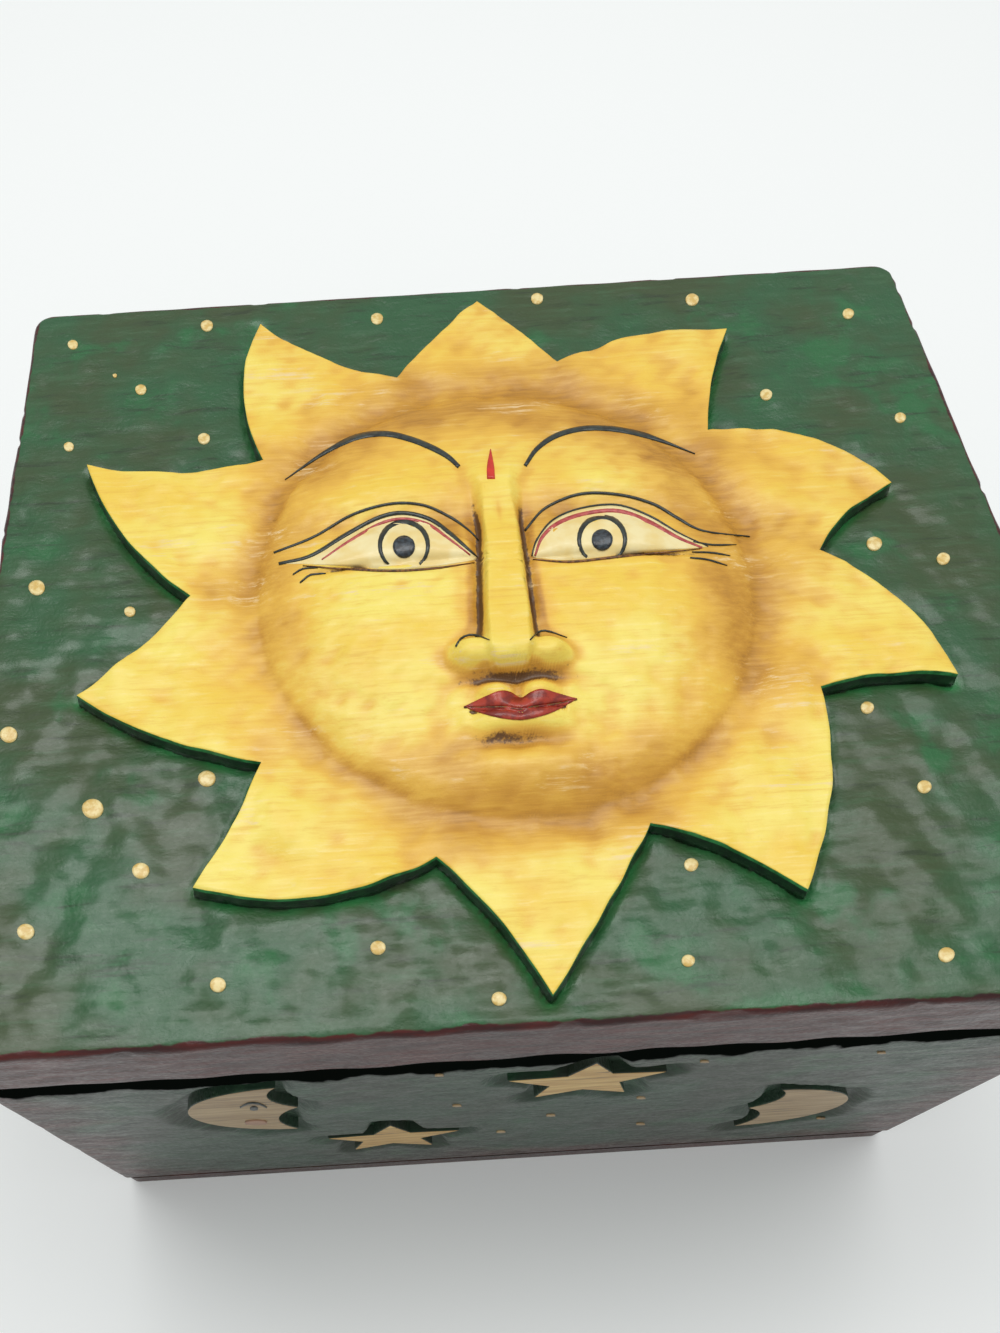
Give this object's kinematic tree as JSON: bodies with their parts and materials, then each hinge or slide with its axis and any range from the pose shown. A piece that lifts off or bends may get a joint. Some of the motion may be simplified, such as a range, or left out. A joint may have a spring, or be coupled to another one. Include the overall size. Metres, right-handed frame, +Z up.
{
  "type": "wooden trinket box",
  "caption": "Hinged wooden trinket box, its lid carved and painted with a rayed sun face, its walls with crescent moons and stars.",
  "frame": {"origin": "centre of the bottom board's underside, on the table", "axes": "+Z up, -Y towards the front, +X along the width, to the right seen from the front"},
  "size_m": [0.178, 0.151, 0.139],
  "materials": {
    "painted_lid": "carved wood, painted gold, green and dark red, varnished",
    "painted_wall": "carved wood, painted dark green and dark red, varnished",
    "dark_red_wood": "dark red paint on wood",
    "hinge_brass": "aged satin brass",
    "screw_brass": "brass, slotted heads",
    "steel": "plain steel wire"
  },
  "bodies": {
    "box": {"front_wall": "painted_wall", "back_wall": "painted_wall", "left_wall": "painted_wall", "right_wall": "painted_wall", "bottom_board": "dark_red_wood", "left_hinge_body_leaf": "hinge_brass", "left_hinge_pin": "steel", "left_body_leaf_screws": "screw_brass", "right_hinge_body_leaf": "hinge_brass", "right_hinge_pin": "steel", "right_body_leaf_screws": "screw_brass", "front_nails": "steel", "back_nails": "steel", "bottom_nails": "steel"},
    "lid": {"lid_board": "painted_lid", "left_hinge_lid_leaf": "hinge_brass", "left_lid_leaf_screws": "screw_brass", "right_hinge_lid_leaf": "hinge_brass", "right_lid_leaf_screws": "screw_brass"}
  },
  "joints": [
    {"name": "lid_hinge", "type": "hinge", "parent": "box", "child": "lid", "pos_m": [0, 0.073, 0.10775], "axis": [-1, 0, 0], "range_deg": [0, 100]}
  ]
}
